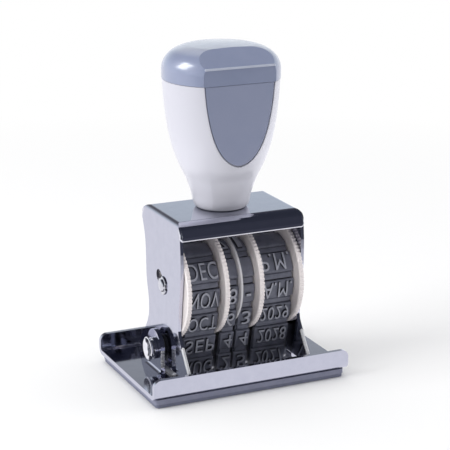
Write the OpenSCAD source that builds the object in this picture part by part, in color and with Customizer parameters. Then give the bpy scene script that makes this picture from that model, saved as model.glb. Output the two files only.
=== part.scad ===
// Rotary date stamp: a folded sheet-steel frame with four thumb wheels and four
// rubber character bands, on a height-adjustable die plate, under a plastic handle.
// X runs across the stamp, left (-) to right (+), along the wheel axle; Y runs from
// front (-) to back (+); Z = 0 is the printing face, where the stamp rests.

/* [Frame] */
// Outer width of the folded frame across its side plates
frame_w = 36; // [35.6:0.2:37]
// Thickness of the frame sheet
frame_t = 0.9; // [0.8:0.05:1]
// Height of the frame's top face above the printing face
frame_top = 46.7; // [45.5:0.1:48]
// Front end of the flat top
top_front = -9.6; // [-9.8:0.1:-9.3]
// Back end of the flat top
top_back = 8.9; // [8.6:0.1:9.2]
// Foremost face of the rounded front brow of the frame
brow_front = -13.6; // [-13.8:0.05:-13.4]
// Rearmost face of the rounded rear brow of the frame
brow_back = 13.1; // [12.9:0.1:13.4]
// Height of the lower edge of the brows
brow_low = 42.45; // [41.8:0.05:42.5]
// Inner radius of the frame's side bends
bend_r = 0.5; // [0.3:0.1:0.8]

/* [Wheels] */
// Height of the wheel axle above the printing face
axle_z = 27.1; // [26.5:0.1:27.6]
// Fore-and-aft place of the wheel axle
axle_y = -1.5; // [-1.8:0.1:-1.2]
// Diameter of the axle
axle_d = 4; // [3.6:0.1:4.4]
// Radial running clearance of the wheels on the axle
axle_gap = 0.05; // [0.03:0.01:0.08]
// Radius of a thumb wheel over its serrations
wheel_r = 14.6; // [14:0.1:14.8]
// Thickness of a thumb wheel's rim
wheel_t = 1.3; // [1.1:0.1:1.3]
// Number of serrations round a thumb wheel
wheel_teeth = 82; // [70:2:100]
// Depth of a serration
tooth_h = 0.4; // [0.25:0.05:0.5]
// Radius of the thin plain disc between the two day bands
spacer_r = 12.5; // [12:0.1:13]
// Radius of the drums that carry the bands
drum_r = 9.5; // [9:0.1:9.5]

/* [Bands] */
// Number of rows of characters on a band
rows = 13; // [13:1:14]
// Thickness of a band between its rows
web_t = 1.05; // [0.8:0.05:1.2]
// Thickness of a band at a row
pad_t = 1.6; // [1.4:0.05:1.6]
// Length of a row along the band
pad_l = 4.7; // [4:0.1:5]
// Depth of the notches in a band's edges between rows
notch = 0.35; // [0.2:0.05:0.5]
// Half length of the flat printing face of the shoe
shoe_half = 2.6; // [2.2:0.1:3]
// Radius of the band's inner face round the shoe's nose
nose_r = 1.4; // [1.2:0.1:1.6]
// Radial gap between a band and its drum and shoe
band_gap = 0.1; // [0.08:0.02:0.2]

/* [Die plate] */
// Length of the die plate across the stamp
plate_w = 57.1; // [56:0.1:60]
// Depth of the die plate from front to back over its lips
plate_d = 40.4; // [40:0.1:42]
// Thickness of the die plate sheet
plate_t = 1.2; // [1:0.1:1.2]
// Height of the lips over the underside of the die plate
lip_h = 5.65; // [5:0.05:6.5]
// Thickness of the rubber die
die_t = 0.9; // [0.8:0.1:1.2]
// Thickness of the cushion between the rubber die and the die plate
cushion_t = 1.35; // [1.2:0.05:1.6]
// Width of the ears that carry the clamp screws
ear_w = 9.4; // [9:0.2:10]
// Height of the clamp screws above the printing face
screw_z = 9.2; // [9:0.1:9.4]
// Travel of the die plate each way from the middle
lift = 1.2; // [0.8:0.1:1.2]

/* [Handle] */
// Radius of the handle under its cap
grip_r = 15.65; // [15.3:0.05:16.2]
// Distance of the flat front of the handle from the middle plane
flat_y = 11.35; // [11.1:0.05:11.6]
// Radius of the handle's foot
foot_r = 6.7; // [6.5:0.1:7]
// Height of the seam between handle and cap
seam_z = 81.7; // [81:0.1:82.5]
// Height of the top of the cap
cap_z = 90.8; // [90.6:0.1:91.4]
// How far the handle's axis stands behind the middle plane
handle_y = 0.5; // [0:0.1:0.8]

/* [Hidden] */
overlap = 0.01;
frame_out = frame_w / 2; // outer face of a side plate
frame_in = frame_out - frame_t; // inner face of a side plate
plate_z = die_t + cushion_t; // underside of the die plate
floor_z = plate_z + plate_t; // upper face of its floor
axle_r = axle_d / 2;
axle_at = [axle_y, axle_z];
wheel_color = [0.87, 0.85, 0.82];
band_color = [0.42, 0.44, 0.49];

/* ---------- shared helpers ---------- */
function unit(angle) = [cos(angle), sin(angle)];
function arc(centre, r, from, to, n = 8) =
  [for (i = [0:n]) centre + r * unit(from + (to - from) * i / n)];
function reverse(list) = [for (i = [len(list) - 1:-1:0]) list[i]];
// rectangle with rounded corners; each corner is [x sign, y sign, start angle]
function round_rect(w, d, r) = [
  for (c = [[1, 1, 0], [-1, 1, 90], [-1, -1, 180], [1, -1, 270]])
    each arc([c[0] * (w / 2 - r), c[1] * (d / 2 - r)], r, c[2], c[2] + 90, 6)];

// a flat (y, z) outline, drawn from x0 to x1
module extrude_x(x0, x1)
  translate([x0, 0, 0]) rotate([90, 0, 90]) linear_extrude(x1 - x0) children();
// a flat (x, z) outline, drawn from y0 to y1
module extrude_y(y0, y1)
  translate([0, y1, 0]) rotate([90, 0, 0]) linear_extrude(y1 - y0) children();
module rod_x(x0, x1, r, y, z, fn = 64)
  translate([x0, y, z]) rotate([0, 90, 0]) cylinder(h = x1 - x0, r = r, $fn = fn);
module axle_rod(x0, x1, r, fn = 64) rod_x(x0, x1, r, axle_y, axle_z, fn);
module screw_rod(x0, x1, r, fn = 48) rod_x(x0, x1, r, 0, screw_z, fn);
// upright cylinder on the handle's axis
module handle_rod(z, h, r, fn = 48) translate([0, handle_y, z]) cylinder(h = h, r = r, $fn = fn);
module both_sides() {
  children();
  mirror([1, 0, 0]) children();
}

/* ---------- frame ---------- */
foot_z = floor_z + lift + 0.25;
// side plate, waisted above a flared foot: [height, front y, back y]
side_stations = [
  [foot_z, -18.5, 16.4], [7.75, -17.6, 14.7], [10.8, -15.3, 11.9], [13.4, -13.4, 10.0],
  [15.6, -11.9, 8.95], [17.2, -11.5, 8.7], [19.8, -11.8, 8.7], [22.4, -12.15, 9.2],
  [24.6, -12.4, 9.85], [27.3, -12.85, 10.3], [32, -13.45, 10.4], [36.2, -13.5, 10.65],
  [38.7, -13.5, 11.2], [40.9, -13.3, 12.0]];
front_brow_r = top_front - brow_front;
back_brow_r = brow_back - top_back;
// the upper corners end halfway through the sheet of the brows
side_outline = concat(
  [for (s = side_stations) [s[1], s[0]]],
  arc([top_front, frame_top - front_brow_r], front_brow_r - frame_t / 2, 180, 100, 6),
  [[top_front, frame_top + 1], [top_back, frame_top + 1]],
  arc([top_back, frame_top - back_brow_r], back_brow_r - frame_t / 2, 80, 0, 6),
  [for (s = reverse(side_stations)) [s[2], s[0]]]);
// one face of a brow, from the end of the flat top to its tip, offset inwards
function brow_face(top_y, tip_y, offset) =
  let (r = abs(tip_y - top_y), side = sign(tip_y - top_y))
  concat([for (i = [0:12]) [top_y, frame_top - r]
      + (r - offset) * [side * sin(7.5 * i), cos(7.5 * i)]],
    [[tip_y - side * offset, brow_low]]);
// quarter-round strip that laps 0.4 into the flat top
function brow_outline(top_y, tip_y) =
  let (lap_y = top_y - sign(tip_y - top_y) * 0.4)
  concat(reverse(brow_face(top_y, tip_y, 0)),
    [[lap_y, frame_top], [lap_y, frame_top - frame_t]],
    brow_face(top_y, tip_y, frame_t));
bend_out = bend_r + frame_t;
bend_z = frame_top - bend_out;
// outer face of the frame seen from the front, down to height low_z
function frame_outer(low_z) = concat([[-frame_out, low_z]],
  arc([-frame_out + bend_out, bend_z], bend_out, 180, 90),
  arc([frame_out - bend_out, bend_z], bend_out, 90, 0), [[frame_out, low_z]]);
module frame_section() polygon(concat(frame_outer(0),
  [[frame_in, 0]], arc([frame_in - bend_r, bend_z], bend_r, 0, 90),
  arc([-frame_in + bend_r, bend_z], bend_r, 90, 180), [[-frame_in, 0]]));
module brow(top_y, tip_y) intersection() {
  extrude_x(-frame_out + 0.02, frame_out - 0.02) polygon(brow_outline(top_y, tip_y));
  extrude_y(-20, 20) polygon(frame_outer(30));
  // rounds the upright corners of the brows
  translate([0, (brow_front + brow_back) / 2, 40]) linear_extrude(8)
    polygon(round_rect(frame_w + 0.2, brow_back - brow_front + 0.1, 1.0));
}
cut_x = frame_out + 1; // reach of cuts through both side plates
// slot that rises backwards from the axle hole
slot_r = 1.7;
slot_top = [1.35, 29.1]; // [y, z]
module axle_hole() {
  run = slot_top - axle_at;
  angle = atan2(run[1], run[0]);
  axle_rod(-cut_x, cut_x, axle_r + 0.35);
  extrude_x(-cut_x, cut_x) polygon(concat(
    arc(slot_top, slot_r, angle - 90, angle + 90, 10),
    [axle_at + slot_r * unit(angle + 90), axle_at + slot_r * unit(angle - 90)]));
}
// square tenons that hold the shoe in the side plates
tenon_y = [axle_y - 2.2, axle_y + 2.2];
tenon_z = 6.7; // middle height
tenon_size = 1.5;
module tenons(size, reach) for (y = tenon_y)
  translate([-reach, y - size / 2, tenon_z - size / 2]) cube([2 * reach, size, size]);
module frame() color([0.80, 0.80, 0.84]) difference() {
  union() {
    intersection() {
      extrude_y(-19, 17) frame_section();
      extrude_x(-cut_x, cut_x) polygon(side_outline);
    }
    brow(top_front, brow_front);
    brow(top_back, brow_back);
  }
  axle_hole();
  screw_rod(-cut_x, cut_x, 1.5, 64);
  tenons(tenon_size + 0.2, cut_x);
  handle_rod(frame_top - 3, 5, 2.2);
}

/* ---------- axle and wheels ---------- */
axle_end = frame_out + 0.25;
// domed axle head: [radius, distance outwards]
axle_head = [[0, 0], [axle_r + 0.55, 0], [axle_r + 0.5, 0.3], [axle_r - 0.1, 0.62],
  [1, 0.8], [0, 0.85]];
module axle() color([0.78, 0.78, 0.80]) union() {
  axle_rod(-axle_end, axle_end, axle_r);
  both_sides() translate([axle_end - overlap, axle_y, axle_z]) rotate([0, 90, 0])
    rotate_extrude($fn = 64) polygon(axle_head);
}
// [left face, right face] of each disc in the wheel stack, from left to right
side_gap = 0.1;
month_disc = [-frame_in + side_gap, -frame_in + side_gap + wheel_t];
tens_disc = [-4.8 - wheel_t, -4.8];
middle_disc = [-0.7, -0.2];
units_disc = [4.0, 4.0 + wheel_t];
year_disc = [frame_in - side_gap - wheel_t, frame_in - side_gap];
// [left, right] of each band, between its two discs
band_side_gap = 0.12;
function between(left, right) = [left[1] + band_side_gap, right[0] - band_side_gap];
month_x = between(month_disc, tens_disc);
tens_x = between(tens_disc, middle_disc);
units_x = between(middle_disc, units_disc);
year_x = between(units_disc, year_disc);
// disc with rounded serrations, four points each
module serrated_disc(x) extrude_x(x[0], x[1]) translate(axle_at)
  polygon([for (i = [0:4 * wheel_teeth - 1])
    (wheel_r - tooth_h + tooth_h * sin(45 * (i % 4))) * unit(360 * i / (4 * wheel_teeth))]);
// drum with a shallow zigzag rim, three ridges to a row
module drum(x) {
  n = 2 * rows * 3;
  extrude_x(x[0], x[1]) translate(axle_at) polygon([for (i = [0:n - 1])
    (i % 2 == 0 ? drum_r : drum_r - 0.35) * unit(360 * (i + 0.5) / n)]);
}
module wheel_bore() axle_rod(-frame_out, frame_out, axle_r + axle_gap);
module thumb_wheel(disc, drum_x) color(wheel_color) difference() {
  union() {
    serrated_disc(disc);
    drum(drum_x);
  }
  wheel_bore();
}
module month_wheel() thumb_wheel(month_disc, [month_disc[1] - overlap, month_x[1]]);
module tens_wheel() thumb_wheel(tens_disc, [tens_disc[1] - overlap, tens_x[1]]);
module units_wheel() thumb_wheel(units_disc, [units_x[0], units_disc[0] + overlap]);
module year_wheel() thumb_wheel(year_disc, [year_x[0], year_disc[0] + overlap]);
module spacer_disc() color([0.9, 0.89, 0.9]) difference() {
  axle_rod(middle_disc[0], middle_disc[1], spacer_r, 96);
  wheel_bore();
}

/* ---------- bands ---------- */
// The inner face of a band wraps the drum above and two nose circles below.
loop_r = drum_r + band_gap;
nose_z = pad_t + 0.55 + nose_r;
nose_at = [axle_y - shoe_half, nose_z]; // front nose centre, [y, z]
nose_to_axle = norm([shoe_half, axle_z - nose_z]);
// direction in which the straight front run touches both nose and drum
touch = atan2(axle_z - nose_z, shoe_half) + acos(-(loop_r - nose_r) / nose_to_axle);
// Distances run forward from the middle of the printing face, up to the top of the drum.
// Round the arcs they are measured this far outside the inner face.
measure_out = 0.4;
flat_end = shoe_half;
nose_end = flat_end + (nose_r + measure_out) * (270 - touch) * PI / 180;
run_l = sqrt(nose_to_axle * nose_to_axle - pow(loop_r - nose_r, 2));
run_end = nose_end + run_l;
half_loop = run_end + (loop_r + measure_out) * (touch - 90) * PI / 180;
pitch = 2 * half_loop / rows;
// point of the front half at distance s, set outwards from the inner face by out
function front_point(s, out) =
  s <= flat_end ? [axle_y - s, nose_z - nose_r - out] :
  s <= nose_end ?
    nose_at + (nose_r + out) * unit(270 - (s - flat_end) / (nose_r + measure_out) * 180 / PI) :
  s <= run_end ?
    let (low = nose_at + (nose_r + out) * unit(touch),
      high = axle_at + (loop_r + out) * unit(touch))
    low + (high - low) * (s - nose_end) / run_l :
  axle_at + (loop_r + out) * unit(touch - (s - run_end) / (loop_r + measure_out) * 180 / PI);
function to_back(p) = [2 * axle_y - p[0], p[1]];
function wrap(s) = s < 0 ? s + 2 * half_loop : s >= 2 * half_loop ? s - 2 * half_loop : s;
function loop_point(s, out) = let (w = wrap(s))
  w <= half_loop ? front_point(w, out) : to_back(front_point(2 * half_loop - w, out));
function loop_angle(s) = let (d = loop_point(s + 0.05, 0) - loop_point(s - 0.05, 0))
  atan2(d[1], d[0]);
// one row of the band: [distance from the row's middle, thickness]
pad_slope = 0.18;
row_profile = concat([[-pitch / 2, web_t], [-pad_l / 2 - pad_slope, web_t]],
  [for (i = [-4:4]) [i / 8 * pad_l, pad_t]], [[pad_l / 2 + pad_slope, web_t]]);
band_outer = [for (k = [0:rows - 1]) for (p = row_profile) loop_point(k * pitch + p[0], p[1])];
inner_points = 104;
band_inner = [for (i = [0:inner_points - 1]) loop_point(i * 2 * half_loop / inner_points, 0)];
notch_l = 1.7; // along the band
module band(x) color(band_color) difference() {
  extrude_x(x[0], x[1]) polygon(band_outer);
  extrude_x(x[0] - 1, x[1] + 1) polygon(band_inner);
  // notches in both edges, midway between rows
  for (k = [0:rows - 1]) {
    s = (k + 0.5) * pitch;
    p = loop_point(s, 0.8);
    for (edge = [x[0] - 1, x[1] - notch])
      translate([edge, p[0], p[1]]) rotate([loop_angle(s), 0, 0])
        translate([0, -notch_l / 2, -1.5]) cube([1 + notch, notch_l, 3]);
  }
}
module month_band() band(month_x);
module tens_band() band(tens_x);
module units_band() band(units_x);
module year_band() band(year_x);

/* ---------- printing shoe ---------- */
shoe_top = 12.2;
shoe_x = frame_in - 0.05;
shoe_nose_r = nose_r - band_gap;
shoe_y = shoe_half + shoe_nose_r; // half depth over the noses
module print_shoe() color([0.62, 0.63, 0.66]) difference() {
  union() {
    for (side = [-1, 1])
      rod_x(-shoe_x, shoe_x, shoe_nose_r, axle_y + side * shoe_half, nose_z, 48);
    translate([-shoe_x, axle_y - shoe_half, nose_z - shoe_nose_r])
      cube([2 * shoe_x, 2 * shoe_half, 4]);
    translate([-shoe_x, axle_y - shoe_y, nose_z])
      cube([2 * shoe_x, 2 * shoe_y, shoe_top - nose_z]);
    tenons(tenon_size, frame_out - 0.02);
  }
  both_sides() screw_rod(12.5, frame_in + 1, 1.5, 64);
}

/* ---------- die plate, cushion and rubber die ---------- */
ear_x = frame_out + 1.0; // inner face of an ear
ear_out = ear_x + plate_t;
ear_bend = 0.8; // bend radius on the outer side of the ear
window_y = [-8.4, 5.4];
lip_z = plate_z + lip_h;
lip_bend = 1.9; // outer radius
lip_corner_r = 2;
module lip_section() {
  inside = lip_bend - plate_t;
  edge = plate_d / 2;
  front = [-edge + lip_bend, plate_z + lip_bend];
  back = [edge - lip_bend, plate_z + lip_bend];
  polygon(concat(
    [[-edge, lip_z]], arc(front, lip_bend, 180, 270),
    arc(back, lip_bend, 270, 360), [[edge, lip_z], [edge - plate_t, lip_z]],
    arc(back, inside, 360, 270), arc(front, inside, 270, 180), [[-edge + plate_t, lip_z]]));
}
// one small serration of an ear's front edge: [inwards, upwards]
ear_tooth = [[0, 0], [0.16, 0.13], [0.16, 0.27]];
module ear_outline() polygon(concat([[-ear_w / 2, plate_z + 1]],
  [for (k = [0:8]) for (p = ear_tooth) [-ear_w / 2 + p[0], 6.1 + k * 0.4 + p[1]]],
  [[-ear_w / 2, 9.75]],
  arc([0, screw_z + 0.6], ear_w / 2 - 0.02, 180, 0, 16), [[ear_w / 2, plate_z + 1]]));
// fold between the plate's floor and the ear, in (x, z)
module ear_fold() {
  centre = [ear_out + ear_bend, floor_z + ear_bend];
  polygon(concat(arc(centre, ear_bend, 270, 180, 6),
    [[ear_out, floor_z + 2], [ear_x, floor_z + 2]],
    arc(centre, ear_bend + plate_t, 180, 270, 8),
    [[ear_x + 4, plate_z], [ear_x + 4, floor_z]]));
}
screw_hole_r = 1.6;
module ear() {
  reach = lift + 0.15; // of the upright slot, each way from the screw
  difference() {
    union() {
      extrude_x(ear_x, ear_out) ear_outline();
      extrude_y(-ear_w / 2, ear_w / 2) ear_fold();
    }
    for (dz = [-reach, reach])
      rod_x(ear_x - 1, ear_out + 1, screw_hole_r, 0, screw_z + dz, 48);
    translate([ear_x - 1, -screw_hole_r, screw_z - reach])
      cube([plate_t + 2, 2 * screw_hole_r, 2 * reach]);
  }
}
module die_plate() color([0.78, 0.78, 0.84]) union() {
  difference() {
    extrude_x(-plate_w / 2, plate_w / 2) lip_section();
    // opening for the bands, and the places of the folded-up ears
    translate([-ear_x, window_y[0], 0])
      cube([2 * ear_x, window_y[1] - window_y[0], floor_z + 1]);
    both_sides() translate([ear_x - 1, -ear_w / 2 - 0.3, 0])
      cube([1 + plate_t + ear_bend, ear_w + 0.6, floor_z + 1]);
    // rounded upper corners at the ends of the lips
    both_sides() extrude_y(-plate_d, plate_d)
      translate([plate_w / 2 - lip_corner_r, lip_z - lip_corner_r]) difference() {
        square([3, 3]);
        circle(r = lip_corner_r, $fn = 48);
      }
  }
  both_sides() ear();
}
cushion_w = plate_w - 1.6;
cushion_d = plate_d - 1.6;
// opening through the cushion and the rubber die
module window() translate([-ear_x - 0.4, window_y[0] - 0.2, -1])
  cube([2 * ear_x + 0.8, window_y[1] - window_y[0] + 0.4, 9]);
module die_cushion() color([0.50, 0.52, 0.58]) difference() {
  translate([0, 0, die_t]) linear_extrude(cushion_t) polygon(round_rect(cushion_w, cushion_d, 1));
  window();
}
module rubber_die() color([0.45, 0.47, 0.53]) difference() {
  linear_extrude(die_t) polygon(round_rect(cushion_w - 0.4, cushion_d - 0.4, 0.9));
  window();
  // sunk fields, 0.4 deep, in front and behind, each with a border and three raised rules
  for (y = [-13.7, 12.3]) translate([0, y, -1]) linear_extrude(1.4) difference() {
    square([cushion_w - 5, 9], center = true);
    for (i = [-1:1]) translate([0, i * 2.6]) square([cushion_w - 14, 0.9], center = true);
  }
}

/* ---------- clamp screws ---------- */
washer_in = frame_out + 0.1;
module spacer_washers() color([0.30, 0.31, 0.34]) both_sides() difference() {
  screw_rod(washer_in, ear_x - 0.1, 3.4);
  screw_rod(washer_in - 1, ear_x + 1, screw_hole_r);
}
seat_x = ear_out + 0.06;
clamp_washer_t = 0.7;
module clamp_washer() color([0.72, 0.72, 0.75]) difference() {
  screw_rod(seat_x, seat_x + clamp_washer_t, 2.95);
  screw_rod(seat_x - 1, seat_x + 2, 1.52);
}
head_x = seat_x + clamp_washer_t + 0.05;
// dished screw head with a raised rim: [radius, distance outwards]
clamp_head = [[0, 0], [2.3, 0], [2.25, 0.35], [2.7, 0.62], [3.15, 0.8], [3.25, 0.98],
  [3.2, 1.16], [3.0, 1.24], [2.5, 1.12], [1.7, 0.86], [1.1, 0.78], [0, 0.75]];
module clamp_screw() color([0.82, 0.82, 0.85]) difference() {
  union() {
    screw_rod(13.6, head_x + 0.2, 1.45);
    translate([head_x, 0, screw_z]) rotate([0, 90, 0])
      rotate_extrude($fn = 72) polygon(clamp_head);
  }
  translate([head_x + 0.35, -0.35, screw_z - 2.1]) cube([2, 0.7, 4.2]);
}
module clamp_washer_left() mirror([1, 0, 0]) clamp_washer();
module clamp_washer_right() clamp_washer();
module clamp_screw_left() mirror([1, 0, 0]) clamp_screw();
module clamp_screw_right() clamp_screw();

/* ---------- handle ---------- */
foot_low = frame_top + 0.05;
// turned handle: [height, radius]
grip = [[foot_low, foot_r], [47.8, foot_r + 0.75], [51, 8.2], [55, 9.6], [59, 11.5],
  [64, 13.25], [69.6, grip_r - 1.2], [76, grip_r - 0.4], [seam_z, grip_r]];
last = len(grip) - 1;
function slope(i, j) = (grip[j][1] - grip[i][1]) / (grip[j][0] - grip[i][0]);
function tangent(i) = slope(max(i - 1, 0), min(i + 1, last));
// radius on a smooth cubic through the stations, at fraction u from station i to the next
function grip_radius(i, u) = let (h = grip[i + 1][0] - grip[i][0])
  (2 * u * u * u - 3 * u * u + 1) * grip[i][1]
  + (u * u * u - 2 * u * u + u) * h * tangent(i)
  + (3 * u * u - 2 * u * u * u) * grip[i + 1][1]
  + (u * u * u - u * u) * h * tangent(i + 1);
// [radius, height]
grip_side = concat(
  [for (i = [0:last - 1]) for (u = i == 0 ? [0, 0.5] : [0, 0.34, 0.67])
    [grip_radius(i, u), grip[i][0] + u * (grip[i + 1][0] - grip[i][0])]],
  [[grip_r, seam_z]]);
shield_t = 0.6;
insert_r = 3.6;
wall = 1.6;
body_flat_y = flat_y - shield_t - 0.05;
hollow_r = grip_r - 2.2;
module turned(profile)
  translate([0, handle_y, 0]) rotate_extrude($fn = 96) polygon(profile);
// block filling the space in front of the plane at y = -distance
module front_of(distance) translate([-30, -40, 30]) cube([60, 40 - distance, 80]);
module grip_solid(inset) turned(concat([[0, foot_low]],
  [for (p = grip_side) [p[0] - inset, p[1]]], [[0, seam_z]]));
module handle_body() color([0.93, 0.93, 0.96]) difference() {
  grip_solid(0);
  // flat front, set back for the shield
  front_of(body_flat_y);
  // hollow above the boss, with a wall behind the flat
  difference() {
    turned([[0, 66], [10.2, 66], [hollow_r, 76.5], [hollow_r, seam_z + 1], [0, seam_z + 1]]);
    front_of(body_flat_y - wall);
  }
  handle_rod(foot_low - 1, 14.2, insert_r);
}
module handle_shield() color([0.53, 0.57, 0.65]) intersection() {
  grip_solid(0.05);
  translate([-20, -flat_y, foot_low]) cube([40, shield_t, seam_z - 0.05 - foot_low]);
}
// cap: upright rim, rounded shoulder and a shallow dome, with a flat and a slope in front
cap_r = grip_r + 0.12;
cap_low = seam_z + 0.05;
rim_z = 84.3;
shoulder = [8.45, cap_z - 0.3 - rim_z]; // [inwards, upwards]
slope_low = [-flat_y - 0.1, 86.2]; // [y, z]
slope_rise = [-6.7, 89.8] - slope_low;
cap_side = concat([[cap_r, cap_low]],
  [for (i = [0:10])
    [cap_r - shoulder[0] * (1 - cos(9 * i)), rim_z + shoulder[1] * sin(9 * i)]],
  [[4, cap_z - 0.08], [0, cap_z]]);
module cap_shell() difference() {
  turned(concat([[0, cap_low]], cap_side));
  front_of(flat_y + 0.1);
  translate([0, slope_low[0], slope_low[1]])
    rotate([atan2(slope_rise[1], slope_rise[0]), 0, 0])
    translate([-30, -20, 0]) cube([60, 60, 20]);
}
// hollow plug that seats in the handle
module cap_plug() difference() {
  handle_rod(seam_z - 4, 4.1, grip_r - 2.45, 96);
  front_of(flat_y - shield_t - wall - 0.3);
  difference() {
    handle_rod(seam_z - 5, 5.05, grip_r - 4.2, 96);
    front_of(flat_y - shield_t - wall - 2);
  }
}
module handle_cap() color([0.53, 0.57, 0.65]) union() {
  cap_shell();
  cap_plug();
}
module handle_insert() color([0.78, 0.66, 0.38]) difference() {
  handle_rod(foot_low + 0.2, 12.6, insert_r - 0.05);
  handle_rod(foot_low - 1, 16, 2.05);
}
top_under = frame_top - frame_t; // underside of the frame's top
module handle_washer() color([0.7, 0.7, 0.72]) difference() {
  handle_rod(top_under - 0.65, 0.6, 4.4);
  handle_rod(frame_top - 5, 6, 2.1);
}
// [radius, distance downwards]
handle_screw_head = [[0, 0], [3.5, 0], [3.5, 1.1], [3.1, 1.6], [2.2, 1.95], [0, 2.1]];
module handle_screw() color([0.7, 0.7, 0.72]) difference() {
  union() {
    handle_rod(frame_top - 4, 16, 1.98);
    translate([0, handle_y, top_under - 0.7]) mirror([0, 0, 1])
      rotate_extrude($fn = 48) polygon(handle_screw_head);
  }
  translate([-0.4, handle_y - 4, top_under - 4]) cube([0.8, 8, 2.2]);
}

handle_body();
handle_cap();
handle_shield();
handle_insert();
handle_screw();
handle_washer();
frame();
axle();
month_wheel();
tens_wheel();
spacer_disc();
units_wheel();
year_wheel();
month_band();
tens_band();
units_band();
year_band();
print_shoe();
spacer_washers();
die_plate();
die_cushion();
rubber_die();
clamp_washer_left();
clamp_screw_left();
clamp_washer_right();
clamp_screw_right();
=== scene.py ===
"""Self-inking style date stamp: handle, chromed frame, four type belts and their thumb wheels.

The stamp stands upright on z = 0. Its front faces -Y, +X is to the right, and the belts
turn about an axle that lies along X. Shape dimensions are in mm and become metres as
vertices are made; materials, lights and camera are in metres.
"""
import math
import bpy
import bmesh
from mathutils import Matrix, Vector


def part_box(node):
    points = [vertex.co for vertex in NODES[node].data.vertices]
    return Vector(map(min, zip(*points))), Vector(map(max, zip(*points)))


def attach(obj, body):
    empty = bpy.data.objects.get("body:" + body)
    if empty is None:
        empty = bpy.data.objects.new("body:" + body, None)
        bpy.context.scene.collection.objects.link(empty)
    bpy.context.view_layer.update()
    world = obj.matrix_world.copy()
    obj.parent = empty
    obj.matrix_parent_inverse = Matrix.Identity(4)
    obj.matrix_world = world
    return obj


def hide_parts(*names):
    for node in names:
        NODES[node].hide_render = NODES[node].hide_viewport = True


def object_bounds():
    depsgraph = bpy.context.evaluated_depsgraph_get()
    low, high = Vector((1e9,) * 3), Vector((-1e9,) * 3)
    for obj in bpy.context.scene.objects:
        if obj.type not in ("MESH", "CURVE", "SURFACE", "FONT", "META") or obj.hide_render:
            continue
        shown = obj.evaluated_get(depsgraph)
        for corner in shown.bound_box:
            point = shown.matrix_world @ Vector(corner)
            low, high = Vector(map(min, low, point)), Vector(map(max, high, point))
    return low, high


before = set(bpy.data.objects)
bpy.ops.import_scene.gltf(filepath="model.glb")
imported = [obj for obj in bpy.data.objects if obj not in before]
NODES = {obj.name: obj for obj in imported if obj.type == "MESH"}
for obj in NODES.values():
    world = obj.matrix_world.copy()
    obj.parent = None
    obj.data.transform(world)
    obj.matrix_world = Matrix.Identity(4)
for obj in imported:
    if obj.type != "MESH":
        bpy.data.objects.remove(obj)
cad_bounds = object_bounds()
MM = 0.001
AXLE_Y, AXLE_Z = -1.5, 27.1
LIT_MASK = "lit_mask"  # face attribute: 1 on faces left at full colour, 0 on faces darkened with painted shade; on the cap the paler top and bead are painted light
scene = bpy.context.scene


def box_mm(node):
    low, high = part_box(node)
    return [c * 1000 for c in low], [c * 1000 for c in high]


# ------------------------------------------------------------------ shader helpers
def clear_tree(owner):
    owner.use_nodes = True
    owner.node_tree.nodes.clear()
    return owner.node_tree


def add_node(tree, kind, **props):
    node = tree.nodes.new(kind)
    for key, value in props.items():
        setattr(node, key, value)
    return node


def noise(tree, coords, scale, detail=3.0, rough=0.55):
    node = add_node(tree, "ShaderNodeTexNoise")
    node.inputs["Scale"].default_value = scale
    node.inputs["Detail"].default_value = detail
    node.inputs["Roughness"].default_value = rough
    tree.links.new(coords, node.inputs["Vector"])
    return node.outputs["Fac"]


def remap(tree, value, start=0.3, end=0.7, low=0.0, high=1.0):
    """Maps start..end to low..high."""
    node = add_node(tree, "ShaderNodeMapRange")
    node.inputs["From Min"].default_value = start
    node.inputs["From Max"].default_value = end
    node.inputs["To Min"].default_value = low
    node.inputs["To Max"].default_value = high
    tree.links.new(value, node.inputs["Value"])
    return node.outputs["Result"]


def mix(tree, factor, a, b):
    """Colour mix from a to b; each may be an RGB tuple or a socket."""
    node = add_node(tree, "ShaderNodeMix", data_type="RGBA")
    for key, value in (("Factor", factor), ("A", a), ("B", b)):
        if isinstance(value, tuple):
            node.inputs[key].default_value = (*value, 1)
        else:
            tree.links.new(value, node.inputs[key])
    return node.outputs["Result"]


def vector_math(tree, operation, vector, operand=None, output="Vector"):
    node = add_node(tree, "ShaderNodeVectorMath", operation=operation)
    if operand is not None:
        node.inputs[1].default_value = operand
    tree.links.new(vector, node.inputs[0])
    return node.outputs[output]


def mix_shader(tree, factor, first, second):
    node = add_node(tree, "ShaderNodeMixShader")
    tree.links.new(factor, node.inputs["Fac"])
    tree.links.new(first, node.inputs[1])
    tree.links.new(second, node.inputs[2])
    return node.outputs[0]


# ------------------------------------------------------------------ materials
def paint_side_shade(tree, colour, gain):
    """Painted shade: multiplies the colour by gain where the face attribute is 0."""
    lit_mask = add_node(tree, "ShaderNodeAttribute", attribute_name=LIT_MASK)
    return mix(tree, lit_mask.outputs["Fac"], vector_math(tree, "MULTIPLY", colour, gain), colour)


def paint_glancing_sheen(tree, colour, start, end, gain):
    """Painted sheen: multiplies the colour by gain where it is seen at a glancing angle."""
    weight = add_node(tree, "ShaderNodeLayerWeight")
    weight.inputs["Blend"].default_value = 0.5
    factor = remap(tree, weight.outputs["Facing"], start, end)
    return mix(tree, factor, colour, vector_math(tree, "MULTIPLY", colour, gain))


def paint_hub_shadow(tree, colour, coords, inner, outer, shade):
    """Painted shadow round the axle, fading out from radius inner to outer."""
    flat = vector_math(tree, "MULTIPLY", coords, (0, 1, 1))
    axle = (0, AXLE_Y * MM, AXLE_Z * MM)
    distance = vector_math(tree, "DISTANCE", flat, axle, output="Value")
    return mix(tree, remap(tree, distance, inner, outer), shade, colour)


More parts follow.
